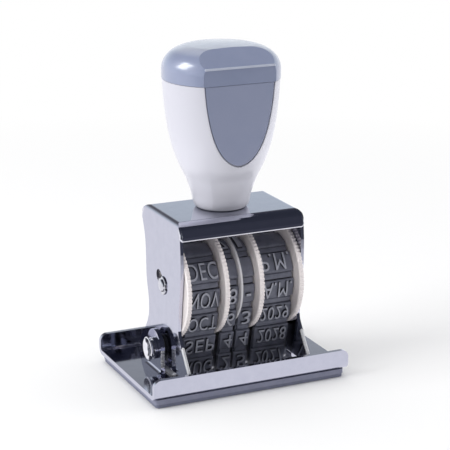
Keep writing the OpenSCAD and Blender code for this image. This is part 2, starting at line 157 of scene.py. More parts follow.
def material(name, base, rough, metallic=0.0, dark=None, mottle=260, rough_vary=0.05,
             rough_mottle=500, bumps=((2500, 0.08, 0.00002),), coat=0.0, coat_rough=0.1,
             spec=0.5, sss=0.0, side=None, glancing_sheen=None, hub=None):
    """Procedural finish: colour mottle, roughness mottle and layered bump.

    mottle and rough_mottle are noise scales; each bump is (noise scale, strength, distance).
    The last three arguments hold the painted side shade, the painted glancing sheen and the
    painted hub shadow of the colour steps above.
    """
    mat = bpy.data.materials.new(name)
    tree = clear_tree(mat)
    out = add_node(tree, "ShaderNodeOutputMaterial")
    shader = add_node(tree, "ShaderNodeBsdfPrincipled")
    tree.links.new(shader.outputs["BSDF"], out.inputs["Surface"])
    coords = add_node(tree, "ShaderNodeTexCoord").outputs["Object"]

    dark = dark or tuple(c * 0.9 for c in base)
    patches = noise(tree, coords, mottle, detail=4.0, rough=0.6)
    colour = mix(tree, remap(tree, patches), dark, base)
    # painted shade, painted sheen and painted shadow laid over the mottled colour
    if side:
        colour = paint_side_shade(tree, colour, side)
    if glancing_sheen:
        colour = paint_glancing_sheen(tree, colour, **glancing_sheen)
    if hub:
        colour = paint_hub_shadow(tree, colour, coords, **hub)
    tree.links.new(colour, shader.inputs["Base Color"])

    values = {"Metallic": metallic, "IOR": 1.5, "Specular IOR Level": spec,
              "Coat Weight": coat, "Coat Roughness": coat_rough}
    if sss:
        values["Subsurface Weight"] = sss
        values["Subsurface Radius"] = (0.002, 0.002, 0.0022)
    for key, value in values.items():
        shader.inputs[key].default_value = value

    patches = noise(tree, coords, rough_mottle, detail=4.0, rough=0.6)
    roughness = remap(tree, patches, low=rough - rough_vary, high=rough + rough_vary)
    tree.links.new(roughness, shader.inputs["Roughness"])

    normal = None
    for scale, strength, distance in bumps:
        bump = add_node(tree, "ShaderNodeBump")
        bump.inputs["Strength"].default_value = strength
        bump.inputs["Distance"].default_value = distance
        tree.links.new(noise(tree, coords, scale), bump.inputs["Height"])
        if normal is not None:
            tree.links.new(normal, bump.inputs["Normal"])
        normal = bump.outputs["Normal"]
    tree.links.new(normal, shader.inputs["Normal"])
    return mat


MATS = {
    "white": material(
        "white_plastic", base=(0.565, 0.565, 0.625), dark=(0.553, 0.553, 0.612), rough=0.30,
        mottle=40, rough_vary=0.010, rough_mottle=90, coat=0.3, coat_rough=0.20,
        bumps=((300, 0.02, 0.00002), (7000, 0.02, 0.00001))),
    # cap grey: side darkens the shell as painted shade, leaving the paler top and bead as painted
    # light; the glancing gain is a painted sheen
    "grey": material(
        "grey_plastic", base=(0.46, 0.49, 0.585), dark=(0.43, 0.465, 0.56), rough=0.34,
        mottle=140, coat=0.85, coat_rough=0.13, side=(0.53, 0.565, 0.68),
        glancing_sheen={"start": 0.60, "end": 0.78, "gain": (1.12, 1.10, 1.05)},
        bumps=((1500, 0.10, 0.00003), (7000, 0.08, 0.00001))),
    "shield": material(
        "shield_plastic", base=(0.262, 0.288, 0.402), dark=(0.246, 0.276, 0.390), rough=0.42,
        mottle=160, rough_vary=0.06, bumps=((1800, 0.14, 0.00003), (7000, 0.12, 0.00001))),
    "brass": material(
        "brass", base=(0.80, 0.62, 0.30), rough=0.28, metallic=1.0,
        bumps=((1800, 0.2, 0.00003),)),
    "steel": material(
        "screw_steel", base=(0.62, 0.62, 0.64), rough=0.30, metallic=1.0,
        bumps=((1800, 0.2, 0.00003),)),
    "chrome": material(
        "chrome", base=(0.566, 0.572, 0.655), dark=(0.532, 0.540, 0.625), rough=0.075,
        metallic=1.0, mottle=340, rough_vary=0.03, rough_mottle=900,
        bumps=((420, 0.05, 0.00008), (3000, 0.09, 0.00003))),
    "bright": material(
        "bright_steel", base=(0.90, 0.90, 0.92), dark=(0.82, 0.82, 0.85), rough=0.12,
        metallic=1.0, mottle=700, bumps=((1500, 0.10, 0.00003),)),
    "hem": material(
        "bright_edge", base=(0.80, 0.80, 0.84), dark=(0.70, 0.70, 0.75), rough=0.10,
        metallic=1.0, mottle=600, bumps=((1500, 0.06, 0.00002),)),
    # near-white colour is a painted highlight on the foot edges and ear teeth
    "cut": material(
        "painted_highlight_edge", base=(0.97, 0.97, 0.98), dark=(0.88, 0.88, 0.90), rough=0.50,
        metallic=0.55, mottle=900, bumps=((1800, 0.20, 0.00004),)),
    "axle": material(
        "axle_steel", base=(0.74, 0.74, 0.78), dark=(0.60, 0.60, 0.64), rough=0.16,
        metallic=1.0, mottle=900, bumps=((1600, 0.25, 0.00004),)),
    "ivory": material(
        "wheel_ivory", base=(0.86, 0.805, 0.795), dark=(0.81, 0.755, 0.745), rough=0.38,
        mottle=180, rough_vary=0.06, sss=0.05, coat=0.15, coat_rough=0.2,
        # hub paints a near-black shadow round the axle
        hub={"inner": 0.0038, "outer": 0.0062, "shade": (0.035, 0.033, 0.035)},
        bumps=((1500, 0.12, 0.00003), (6000, 0.1, 0.00001))),
    "spacer": material(
        "spacer_white", base=(0.74, 0.73, 0.75), rough=0.35, mottle=220,
        bumps=((1500, 0.1, 0.00002),)),
    # side darkens the outward faces of the belt grooves as painted shade
    "rubber": material(
        "band_rubber", base=(0.185, 0.194, 0.245), dark=(0.128, 0.135, 0.174), rough=0.46,
        mottle=420, rough_vary=0.10, side=(0.09, 0.09, 0.10),
        bumps=((1100, 0.30, 0.00006), (5200, 0.25, 0.00002))),
    # type rubber is paler than the belt rubber as painted light on the letter faces; side darkens
    # the letter sides as painted shade
    "type": material(
        "type_rubber", base=(0.400, 0.412, 0.470), dark=(0.300, 0.312, 0.365), rough=0.40,
        mottle=700, rough_vary=0.10, spec=0.6, side=(0.10, 0.10, 0.11),
        bumps=((1500, 0.25, 0.00004), (5200, 0.2, 0.00002))),
    "shoe": material(
        "shoe_metal", base=(0.42, 0.43, 0.46), rough=0.42, metallic=0.8,
        bumps=((900, 0.2, 0.00005),)),
    "dark": material(
        "dark_washer", base=(0.05, 0.052, 0.06), rough=0.45, bumps=((1200, 0.2, 0.00004),)),
    "cushion": material(
        "cushion", base=(0.235, 0.245, 0.330), dark=(0.195, 0.205, 0.285), rough=0.62,
        mottle=500, rough_vary=0.08, bumps=((900, 0.35, 0.00008), (3600, 0.35, 0.00004))),
    "die": material(
        "die_rubber", base=(0.16, 0.17, 0.24), dark=(0.12, 0.13, 0.19), rough=0.55,
        mottle=500, rough_vary=0.08, bumps=((900, 0.3, 0.00006), (3600, 0.3, 0.00003))),
}

# CAD piece: (material, width of its rounded edges; 0 leaves them sharp)
PIECES = {
    "handle_insert": ("brass", 0), "handle_screw": ("steel", 0), "handle_washer": ("steel", 0.06),
    "handle_body": ("white", 0), "handle_cap": ("grey", 0), "handle_shield": ("shield", 0),
    "frame": ("chrome", 0.20), "axle": ("axle", 0.05),
    "month_wheel": ("ivory", 0.07), "tens_wheel": ("ivory", 0.07),
    "units_wheel": ("ivory", 0.07), "year_wheel": ("ivory", 0.07),
    "spacer_disc": ("spacer", 0.1), "spacer_washers": ("dark", 0),
    "month_band": ("rubber", 0.09), "tens_band": ("rubber", 0.09),
    "units_band": ("rubber", 0.09), "year_band": ("rubber", 0.09),
    "print_shoe": ("shoe", 0.1), "die_plate": ("chrome", 0.16),
    "die_cushion": ("cushion", 0.25), "rubber_die": ("die", 0.12),
    "clamp_washer_left": ("bright", 0.1), "clamp_screw_left": ("bright", 0.05),
    "clamp_washer_right": ("bright", 0.1), "clamp_screw_right": ("bright", 0.05),
}


def add_bevel(obj, width, segments=2, angle=30):
    bevel = obj.modifiers.new("edge_round", "BEVEL")
    bevel.width = width * MM
    bevel.segments = segments
    bevel.limit_method = "ANGLE"
    bevel.angle_limit = math.radians(angle)
    bevel.harden_normals = True
    bevel.miter_outer = "MITER_ARC"


for node_name, node_obj in NODES.items():
    finish, edge_width = PIECES[node_name]
    node_obj.data.materials.clear()
    node_obj.data.materials.append(MATS[finish])
    if edge_width:
        add_bevel(node_obj, edge_width)


# ------------------------------------------------------------------ mesh helpers
def finish_mesh(bm, name, mat, body="stamp_frame", sharp=60, replaces=()):
    """Welds the bmesh into an object that is smooth except at edges over sharp degrees."""
    bmesh.ops.remove_doubles(bm, verts=bm.verts, dist=1e-7)
    bmesh.ops.recalc_face_normals(bm, faces=bm.faces)
    for face in bm.faces:
        face.smooth = True
    for edge in bm.edges:
        if len(edge.link_faces) == 2 and edge.calc_face_angle() > math.radians(sharp):
            edge.smooth = False
    mesh = bpy.data.meshes.new(name)
    bm.to_mesh(mesh)
    bm.free()
    obj = bpy.data.objects.new(name, mesh)
    scene.collection.objects.link(obj)
    mesh.materials.append(MATS[mat])
    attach(obj, body)
    if replaces:
        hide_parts(*replaces)
    return obj


def vert(bm, x, y, z):
    return bm.verts.new((x * MM, y * MM, z * MM))


def ring_about_x(bm, x, y, z, radii):
    """Ring in the plane at x, centred on (y, z), with one vertex for each radius."""
    step = 2 * math.pi
    count = len(radii)
    return [vert(bm, x, y + radius * math.cos(step * i / count),
                 z + radius * math.sin(step * i / count)) for i, radius in enumerate(radii)]


def grid_faces(bm, rings, closed=True):
    """Joins neighbouring rings of equal length; repeated vertices at a pole give triangles."""
    for a, b in zip(rings, rings[1:]):
        count = len(a)
        for i in range(count if closed else count - 1):
            j = (i + 1) % count
            bm.faces.new(list(dict.fromkeys((a[i], a[j], b[j], b[i]))))


def tube(bm, rings):
    """Closed tube with a flat face on each end."""
    grid_faces(bm, rings)
    bm.faces.new(rings[0])
    bm.faces.new(list(reversed(rings[-1])))


def smoothstep(start, end, x):
    t = min(max((x - start) / (end - start), 0), 1)
    return t * t * (3 - 2 * t)


# ------------------------------------------------------------------ handle
body_low, body_high = box_mm("handle_body")
cap_low, cap_high = box_mm("handle_cap")
GRIP_R = (body_high[0] - body_low[0]) / 2
HANDLE_Y = body_high[1] - GRIP_R      # y of the handle's upright centre line
FOOT, SEAM = body_low[2], body_high[2]  # lower and upper end of the grip
FLAT = -box_mm("handle_shield")[0][1]  # the shield's flat front is at y = -FLAT
FLAT_DIST = FLAT + HANDLE_Y           # from the centre line to that flat
SHIELD_T = 0.6
FOOT_R = 6.7
FOOT_ROUND = 0.31                     # height of the rounding at the foot
# grip outline: (z, radius)
GRIP = [(FOOT, FOOT_R), (47.8, FOOT_R + 0.75), (51, 8.2), (55, 9.6), (59, 11.5), (64, 13.25),
        (69.6, GRIP_R - 1.2), (76, GRIP_R - 0.4), (SEAM, GRIP_R)]


def grip_radius(z):
    """Radius of the grip at height z, on a cubic Hermite curve through GRIP."""
    last = len(GRIP) - 1
    z = min(max(z, GRIP[0][0]), GRIP[-1][0])
    i = 0
    while i < last - 1 and z > GRIP[i + 1][0]:
        i += 1

    def tangent(k):
        a, b = max(k - 1, 0), min(k + 1, last)
        return (GRIP[b][1] - GRIP[a][1]) / (GRIP[b][0] - GRIP[a][0])

    h = GRIP[i + 1][0] - GRIP[i][0]
    u = (z - GRIP[i][0]) / h
    return ((2 * u ** 3 - 3 * u ** 2 + 1) * GRIP[i][1]
            + (u ** 3 - 2 * u ** 2 + u) * h * tangent(i)
            + (3 * u ** 2 - 2 * u ** 3) * GRIP[i + 1][1]
            + (u ** 3 - u ** 2) * h * tangent(i + 1))


def flat_half(z):
    """Half width of the flat front where it cuts the round grip."""
    r = grip_radius(z)
    return math.sqrt(r * r - FLAT_DIST * FLAT_DIST) if r > FLAT_DIST else 0.0


# height at which the flat front begins
TIP_Z = 55.0
while grip_radius(TIP_Z) < FLAT_DIST:
    TIP_Z += 0.01


def pinched(radius, phi, z):
    """Radius below the tip: a flatter front face between two soft creases."""
    depth = 0.42 * (1 - smoothstep(55.2, 58.6, z)) * smoothstep(FOOT, FOOT + 0.8, z)
    if z >= TIP_Z or depth <= 0:
        return radius
    from_front = phi if phi < math.pi else phi - 2 * math.pi
    half = math.radians(41)
    crease_width = math.radians(1.5)
    crease_height = 0.07
    if abs(from_front) < half:
        radius -= depth * (1 - (from_front / half) ** 2)
    ridge = math.exp(-((from_front - half) / crease_width) ** 2)
    return radius + crease_height * ridge * (1 - smoothstep(56, 58, z))


def handle_grip():
    bm = bmesh.new()
    count = 220
    lip = 0.10  # the round wall stops this far behind the flat
    below = [FOOT, FOOT + 0.04, FOOT + 0.14, FOOT + 0.3]
    z = FOOT + 0.55
    while z < TIP_Z - 0.25:
        below.append(z)
        z += 0.3
    below.append(TIP_Z - 0.12)
    above = [TIP_Z + (SEAM - TIP_Z) * (i / 90) ** 1.7 for i in range(1, 91)]
    rings, right, left = [], [], []
    for z in below + above:
        r = grip_radius(z)
        if z < FOOT + FOOT_ROUND:
            drop = (FOOT + FOOT_ROUND - z) / FOOT_ROUND
            r -= 0.34 * (1 - math.sqrt(max(0, 1 - drop ** 2)))
        open_angle = math.acos(min(1, (HANDLE_Y + (FLAT - lip)) / r)) if z >= TIP_Z else 0.0
        ring = []
        for i in range(count + 1):
            # phi = 0 points to the front and grows towards +X
            phi = open_angle + (2 * math.pi - 2 * open_angle) * i / count
            rr = pinched(r, phi, z)
            ring.append(vert(bm, rr * math.sin(phi), HANDLE_Y - rr * math.cos(phi), z))
        rings.append(ring)
        if z < TIP_Z:
            # close the ring; the spare vertex is welded later
            ring[-1] = ring[0]
            continue
        # rounded lip and wall of the shield's pocket
        w = flat_half(z)
        wall = [(w - 0.06, -FLAT - 0.005), (w - 0.15, -FLAT + 0.02), (w - 0.19, -FLAT + 0.10),
                (w - 0.2, -FLAT + SHIELD_T)]
        right.append([ring[0]] + [vert(bm, max(x, 0.0), y, z) for x, y in wall])
        left.append([ring[-1]] + [vert(bm, -max(x, 0.0), y, z) for x, y in wall])
    grid_faces(bm, rings, closed=False)
    grid_faces(bm, right, closed=False)
    grid_faces(bm, left, closed=False)
    # pocket floor behind the shield
    for k in range(len(right) - 1):
        bm.faces.new([right[k][-1], left[k][-1], left[k + 1][-1], right[k + 1][-1]])
    # lower end of the pocket
    tip = rings[len(below) - 1][0]
    bm.faces.new([tip, *right[0], *reversed(left[0])])
    # flat ends at the foot and at the seam
    bm.faces.new(list(reversed(rings[0][:-1])))
    bm.faces.new(rings[-1] + left[-1][1:] + list(reversed(right[-1][1:])))
    return finish_mesh(bm, "handle_grip", "white", sharp=34,
                       replaces=("handle_body",))


def offset_line(points, distance):
    """Moves an open line of (x, z) points sideways, towards its left."""
    moved = []
    for i, (x, z) in enumerate(points):
        a = points[max(i - 1, 0)]
        b = points[min(i + 1, len(points) - 1)]
        t = Vector((b[0] - a[0], b[1] - a[1])).normalized()
        moved.append((x - t.y * distance, z + t.x * distance))
    return moved


# shield edge, from the back to the front face: (inset from the pocket outline, y)
SHIELD_EDGE = [(0.43, -FLAT + SHIELD_T - 0.02), (0.43, -FLAT + 0.14), (0.47, -FLAT + 0.05),
               (0.56, -FLAT + 0.01), (0.72, -FLAT)]


def shield_plate():
    zs = [TIP_Z + (SEAM - 0.02 - TIP_Z) * (i / 90) ** 1.9 for i in range(91)]
    right = [(flat_half(z), z) for z in zs]
    # from upper left, round the tip, to upper right
    outline = [(-x, z) for x, z in reversed(right[1:])] + right
    top = SEAM - 0.05
    bm = bmesh.new()
    layers = []
    for inset, y in SHIELD_EDGE:
        line = [(x, min(z, top)) for x, z in offset_line(outline, inset)]
        line[0] = (line[0][0], top)
        line[-1] = (line[-1][0], top)
        layers.append([vert(bm, x, y, z) for x, z in line])
    grid_faces(bm, layers)
    bm.faces.new(layers[-1])
    bm.faces.new(list(reversed(layers[0])))
    return finish_mesh(bm, "shield_plate", "shield", sharp=40,
                       replaces=("handle_shield",))


CAP_TOP = cap_high[2]
CAP_R = cap_high[0]
CAP_FRONT = -cap_low[1]  # the cap's flat front is at y = -CAP_FRONT
RIM_Z = 84.3             # where the cap's round shoulder begins
FOLD_Z = 86.2            # edge between the flat front and the slope above it
CROWN_DIP = 0.3          # fall of the top from its centre to the shoulder
SHOULDER_W = 8.45
SLOPE = math.atan2(3.6, 4.75)


def turned_cap(bm):
    """Solid of revolution that the cap is cut from."""
    count = 256
    gap = SEAM + 0.05
    shoulder_h = CAP_TOP - CROWN_DIP - RIM_Z
    profile = [(0.0, gap), (CAP_R - 0.35, gap), (CAP_R - 0.1, SEAM + 0.10),
               (CAP_R, SEAM + 0.3), (CAP_R, RIM_Z)]
    for i in range(1, 25):
        a = math.radians(3.75 * i)
        profile.append((CAP_R - SHOULDER_W * (1 - math.cos(a)),
                        RIM_Z + shoulder_h * math.sin(a)))
    top_r = profile[-1][0]
    profile += [(top_r * k, CAP_TOP - CROWN_DIP * k * k) for k in (0.8, 0.6, 0.4, 0.2, 0.0)]
    rings = []
    for r, z in profile:
        if r == 0:
            rings.append([vert(bm, 0, HANDLE_Y, z)] * count)
        else:
            angles = [2 * math.pi * i / count for i in range(count)]
            rings.append([vert(bm, r * math.sin(a), HANDLE_Y - r * math.cos(a), z)
                          for a in angles])
    grid_faces(bm, rings)
    bmesh.ops.recalc_face_normals(bm, faces=bm.faces)


def fold_bead(bm):
    """Moulded bead along the edge between the front face and the slope."""
    radius = 0.30
    half = math.sqrt(CAP_R ** 2 - (CAP_FRONT + HANDLE_Y) ** 2) - 0.55
    stations = [(-half - 0.28, 0.04), (-half - 0.2, 0.2), (-half, radius)]
    stations += [(-half + 2 * half * i / 12, radius) for i in range(1, 12)]
    stations += [(half, radius), (half + 0.2, 0.2), (half + 0.28, 0.04)]
    tube(bm, [ring_about_x(bm, x, -CAP_FRONT + 0.06, FOLD_Z, [r] * 36) for x, r in stations])


def cap_shell():
    bm = bmesh.new()
    turned_cap(bm)
    # cut the flat front, then the slope above it
    for z, normal in ((0, (0, -1, 0)), (FOLD_Z, (0, -math.sin(SLOPE), math.cos(SLOPE)))):
        bmesh.ops.bisect_plane(bm, geom=bm.verts[:] + bm.edges[:] + bm.faces[:], dist=1e-7,
                               plane_co=(0, -CAP_FRONT * MM, z * MM), plane_no=normal,
                               clear_outer=True)
        bmesh.ops.contextual_create(bm, geom=[e for e in bm.edges if e.is_boundary])
    lit_mask = bm.faces.layers.float.new(LIT_MASK)
    shell = set(bm.faces)
    fold_bead(bm)
    for face in bm.faces:
        # the bead keeps the paler grey as a painted highlight
        if face not in shell:
            face[lit_mask] = 1.0
            continue
        # painted light: the top of the cap keeps a paler grey than the shell, which takes painted
        # shade
        face.normal_update()
        is_top = face.calc_center_median().z > 0.0855
        face[lit_mask] = 0.8 * smoothstep(0.80, 0.97, abs(face.normal.z)) if is_top else 0.0
    obj = finish_mesh(bm, "cap_shell", "grey", sharp=50,
                      replaces=("handle_cap",))
    add_bevel(obj, 0.42, segments=4, angle=14)
    return obj


grip_obj = handle_grip()
shield_obj = shield_plate()
cap_obj = cap_shell()

# ------------------------------------------------------------------ belt path
# Each belt runs flat under the shoe, round a small nose, straight up, and over the drum.
# It is symmetrical front to back about AXLE_Y.
ROWS = 13
BAND_T = 1.6        # nominal thickness of the belt with its pads
BAND_Z = 0.55       # height of the lowest point of that thickness
SHOE_HALF = 2.6     # half length of the flat run
NOSE_R = 1.4
PATH_R = 9.6        # radius of the run over the drum
MID = 0.4           # distance out from the path where lengths are measured
NOSE_Z = BAND_T + BAND_Z + NOSE_R
centre_gap = math.hypot(SHOE_HALF, AXLE_Z - NOSE_Z)
TANGENT = (math.atan2(AXLE_Z - NOSE_Z, SHOE_HALF)
           + math.acos(-(PATH_R - NOSE_R) / centre_gap))
RUN_NOSE = (NOSE_R + MID) * (1.5 * math.pi - TANGENT)
RUN_STRAIGHT = math.sqrt(centre_gap ** 2 - (PATH_R - NOSE_R) ** 2)
RUN_TOP = (PATH_R + MID) * (TANGENT - math.pi / 2)
HALF = SHOE_HALF + RUN_NOSE + RUN_STRAIGHT + RUN_TOP
PITCH = 2 * HALF / ROWS


def front_point(s, out):
    """(y, z) on the front half, s along from the bottom middle and out from the path."""
    def on_nose(a):
        return (AXLE_Y - SHOE_HALF + (NOSE_R + out) * math.cos(a),
                NOSE_Z + (NOSE_R + out) * math.sin(a))

    def on_top(a):
        return AXLE_Y + (PATH_R + out) * math.cos(a), AXLE_Z + (PATH_R + out) * math.sin(a)

    if s <= SHOE_HALF:
        return AXLE_Y - s, NOSE_Z - NOSE_R - out
    if s <= SHOE_HALF + RUN_NOSE:
        return on_nose(1.5 * math.pi - (s - SHOE_HALF) / (NOSE_R + MID))
    if s <= SHOE_HALF + RUN_NOSE + RUN_STRAIGHT:
        u = (s - SHOE_HALF - RUN_NOSE) / RUN_STRAIGHT
        p, q = on_nose(TANGENT), on_top(TANGENT)
        return p[0] + (q[0] - p[0]) * u, p[1] + (q[1] - p[1]) * u
    return on_top(TANGENT - (s - SHOE_HALF - RUN_NOSE - RUN_STRAIGHT) / (PATH_R + MID))


def loop_point(s, out):
    s = s % (2 * HALF)
    if s <= HALF:
        return front_point(s, out)
    y, z = front_point(2 * HALF - s, out)
    return 2 * AXLE_Y - y, z


# ------------------------------------------------------------------ belts
PAD_H, TYPE_H = 1.36, 2.08  # heights of the pads and of the raised type above the path
# one pitch of the belt from a row's middle: (distance along, height, depth of edge notch)
STEP = [
    (0.0, PAD_H, 0), (2.22, PAD_H, 0), (2.31, PAD_H - 0.04, 0), (2.36, PAD_H - 0.14, 0),
    (2.40, 0.42, 0.1), (2.72, 0.42, 0.35), (2.76, 1.00, 0.35), (2.82, 1.06, 0.35),
    (3.45, 1.10, 0.35), (4.02, 1.06, 0.35), (4.08, 1.00, 0.35), (4.11, 0.72, 0.35),
    (4.27, 0.72, 0.2), (4.30, 1.12, 0.05), (4.36, 1.17, 0), (4.52, 1.17, 0),
    (PITCH - 2.40, 1.22, 0), (PITCH - 2.31, PAD_H - 0.04, 0), (PITCH - 2.22, PAD_H, 0),
]


def belt_stations():
    """STEP repeated round the loop, with its spans cut to at most 0.55 mm."""
    stations = []
    for k in range(ROWS):
        for a, b in zip(STEP, STEP[1:] + [(PITCH, PAD_H, 0)]):
            count = max(1, int(math.ceil((b[0] - a[0]) / 0.55)))
            for i in range(count):
                t = i / count
                stations.append((k * PITCH + a[0] + (b[0] - a[0]) * t,
                                 a[1] + (b[1] - a[1]) * t, a[2] + (b[2] - a[2]) * t))
    return stations


def belt(name, band):
    low, high = box_mm(band)
    x0, x1 = low[0], high[0]
    bm = bmesh.new()
    lit_mask = bm.faces.layers.float.new(LIT_MASK)
    stations = belt_stations()
    rings = []
    for s, h, notch in stations:
        section = [(x0, 0.02), (x0 + notch, 0.06), (x0 + notch, h - 0.08),
                   (x0 + notch + 0.08, h), (x1 - notch - 0.08, h), (x1 - notch, h - 0.08),
                   (x1 - notch, 0.06), (x1, 0.02)]
        rings.append([vert(bm, x, *loop_point(s, out)) for x, out in section])
    for i, a in enumerate(rings):
        following = (i + 1) % len(rings)
        b = rings[following]
        in_groove = max(stations[i][1], stations[following][1]) < 0.5
        for j in range(8):
            face = bm.faces.new([a[j], a[(j + 1) % 8], b[(j + 1) % 8], b[j]])
            # painted shade: the outward faces of the grooves are darkened
            face[lit_mask] = 0.0 if in_groove and 2 <= j <= 4 else 1.0
    return finish_mesh(bm, name, "rubber", sharp=28, replaces=(band,))


for part in ("month", "tens", "units", "year"):
    belt(f"{part}_belt", f"{part}_band")


# ------------------------------------------------------------------ raised type
# belt: (words, one for each row, width of a word)
TYPE = {
    "month": (["JUL", "AUG", "SEP", "OCT", "NOV", "DEC", "", "JAN", "FEB", "MAR", "APR",
               "MAY", "JUN"], 8.3),
    "tens": (["1", "2", "4", "6", "8", "", "7", "9", "5", "3", "0", "", ""], 2.4),
    "units": (["7", "5", "4", "3", "-", "", "1", "2", "0", "9", "8", "6", ""], 2.5),
    "year": (["2026", "2027", "2028", "2029", "A.M.", "P.M.", "", "", "2030", "2031", "2032",
              "2033", ""], 8.4),
}
TYPE_SIZE = 4.1   # height of a word along the belt
DASH_SIZE = 0.6
NARROW = 0.55     # share of the width that "1" and "-" take


def glyphs(text, width, height):
    """Flat outline of a word as a bmesh, centred, in mm."""
    curve = bpy.data.curves.new("tmp_type", "FONT")
    curve.body = text
    curve.size = 10
    curve.fill_mode = "FRONT"
    curve.resolution_u = 4
    curve.space_character = 1.08
    obj = bpy.data.objects.new("tmp_type", curve)
    scene.collection.objects.link(obj)
    depsgraph = bpy.context.evaluated_depsgraph_get()
    depsgraph.update()
    evaluated = obj.evaluated_get(depsgraph)
    bm = bmesh.new()
    bm.from_mesh(evaluated.to_mesh())
    evaluated.to_mesh_clear()
    bpy.data.objects.remove(obj)
    bpy.data.curves.remove(curve)
    xs = [v.co.x for v in bm.verts]
    ys = [v.co.y for v in bm.verts]
    centre_x, centre_y = (min(xs) + max(xs)) / 2, (min(ys) + max(ys)) / 2
    scale_x = width / (max(xs) - min(xs))
    scale_y = height / (max(ys) - min(ys))
    for v in bm.verts:
        v.co.x = (v.co.x - centre_x) * scale_x
        v.co.y = (v.co.y - centre_y) * scale_y
        v.co.z = 0
    return bm


def word_on_band(bm, text, row, centre_x, width, height):
    flat = glyphs(text, width, height)
    bmesh.ops.remove_doubles(flat, verts=flat.verts, dist=1e-4)
    bmesh.ops.dissolve_limit(flat, angle_limit=0.01, verts=flat.verts, edges=flat.edges)
    # cross cuts let the word bend with the belt
    for i in range(-4, 5):
        geom = flat.verts[:] + flat.edges[:] + flat.faces[:]
        bmesh.ops.bisect_plane(flat, geom=geom, dist=1e-5, plane_co=(0, i * height / 9, 0),
                               plane_no=(0, 1, 0))
    # z is 0 at the root of the letters and 1 on their faces
    extruded = bmesh.ops.extrude_face_region(flat, geom=flat.faces[:])
    for item in extruded["geom"]:
        if isinstance(item, bmesh.types.BMVert):
            item.co.z = 1.0
    lit_mask = bm.faces.layers.float.get(LIT_MASK)
    placed = {}
    for v in flat.verts:
        out = PAD_H - 0.06 if v.co.z < 0.5 else TYPE_H
        placed[v] = vert(bm, centre_x + v.co.x, *loop_point(row * PITCH - v.co.y, out))
    for face in flat.faces:
        if all(v.co.z < 0.5 for v in face.verts):
            continue
        # guards against doubled faces in the filled outline
        try:
            new_face = bm.faces.new([placed[v] for v in face.verts])
            # painted shade on the letter sides; the faces keep the paler type colour, painted
            # light
            new_face[lit_mask] = 1.0 if all(v.co.z > 0.5 for v in face.verts) else 0.0
        except ValueError:
            pass
    flat.free()


def type_piece(name, words, band, width):
    low, high = box_mm(band)
    bm = bmesh.new()
    bm.faces.layers.float.new(LIT_MASK)
    for row, text in enumerate(words):
        if text:
            word_on_band(bm, text, row, (low[0] + high[0]) / 2,
                         width * (NARROW if text in ("1", "-") else 1.0),
                         DASH_SIZE if text == "-" else TYPE_SIZE)
    return finish_mesh(bm, name, "type", sharp=40)


for part, (part_words, word_width) in TYPE.items():
    type_piece(f"{part}_type", part_words, f"{part}_band", word_width)

# ------------------------------------------------------------------ thumb wheels
TEETH = 82
TOOTH_STEPS = 8
WHEEL_STEPS = TEETH * TOOTH_STEPS
SCALLOP = 0.40
DISC_T = 1.3
DRUM_R = 9.5
BORE_R = 2.05
# rim section: (x from the disc's left or right face, radius lost, share of the scallop)
RIM_LEFT = [(0.0, 0.34, 0.15), (0.06, 0.16, 0.2), (0.18, 0.05, 0.3), (0.36, 0.0, 0.42),
            (0.62, 0.0, 0.62)]
RIM_RIGHT = [(-0.40, 0.0, 0.85), (-0.22, 0.02, 1.0), (-0.09, 0.09, 1.0), (0.0, 0.24, 0.9)]


def thumb_wheel(name, node, disc_left):
    """Scalloped disc with a drum on one side: on its right when disc_left is true."""
    low, high = box_mm(node)
    x0, x1 = low[0], high[0]
    wheel_r = (high[2] - low[2]) / 2
    left, right = (x0, x0 + DISC_T) if disc_left else (x1 - DISC_T, x1)
    bm = bmesh.new()

    def rim_ring(x, cut, share):
        radii = []
        for i in range(WHEEL_STEPS):
            u = (i % TOOTH_STEPS) / TOOTH_STEPS
            dip = SCALLOP * (0.5 + 0.5 * math.cos(2 * math.pi * u)) ** 1.4
            radii.append(wheel_r - cut - dip * share)
        return ring_about_x(bm, x, AXLE_Y, AXLE_Z, radii)

    def circles(stations):
        return [ring_about_x(bm, x, AXLE_Y, AXLE_Z, [r] * WHEEL_STEPS) for x, r in stations]

    # stations are (x, radius); inward is +1 or -1, pointing from the face into the disc
    def raised_rim(face, inward):
        return [(face, wheel_r - 0.9), (face + inward * 0.12, wheel_r - 1.05)]

    def open_side(face, inward):
        web, hub = face + inward * 0.12, face + inward * 0.03
        return raised_rim(face, inward) + [(web, 5.2), (hub, 5.05), (hub, BORE_R)]

    def drum_side(face, inward, end):
        return raised_rim(face, inward) + [
            (face + inward * 0.12, 10.2), (face, DRUM_R), (end + inward * 0.1, DRUM_R),
            (end, DRUM_R - 0.1), (end, BORE_R)]

    rim = [rim_ring(left + dx, cut, share) for dx, cut, share in RIM_LEFT]
    rim += [rim_ring(right + dx, cut, share) for dx, cut, share in RIM_RIGHT]
    if disc_left:
        before = circles(open_side(left, 1))[::-1]
        after = circles(drum_side(right, -1, end=x1))
    else:
        before = circles(reversed(drum_side(left, 1, end=x0)))
        after = circles(open_side(right, -1))
    rings = before + rim + after
    grid_faces(bm, rings)
    grid_faces(bm, [rings[-1], rings[0]])
    return finish_mesh(bm, name, "ivory", body=node, sharp=50,
                       replaces=(node,))


for part, on_left in (("month", True), ("tens", True), ("units", False), ("year", False)):
    thumb_wheel(f"{part}_thumb_wheel", f"{part}_wheel", on_left)

# ------------------------------------------------------------------ frame edges
frame_high = box_mm("frame")[1]
FRAME_HALF = frame_high[0]
FRAME_TOP = frame_high[2]
# front edge of a flared foot: (z, y)
FOOT_LINE = [(5.25, -18.24), (7.75, -17.6), (10.8, -15.3), (13.4, -13.4)]


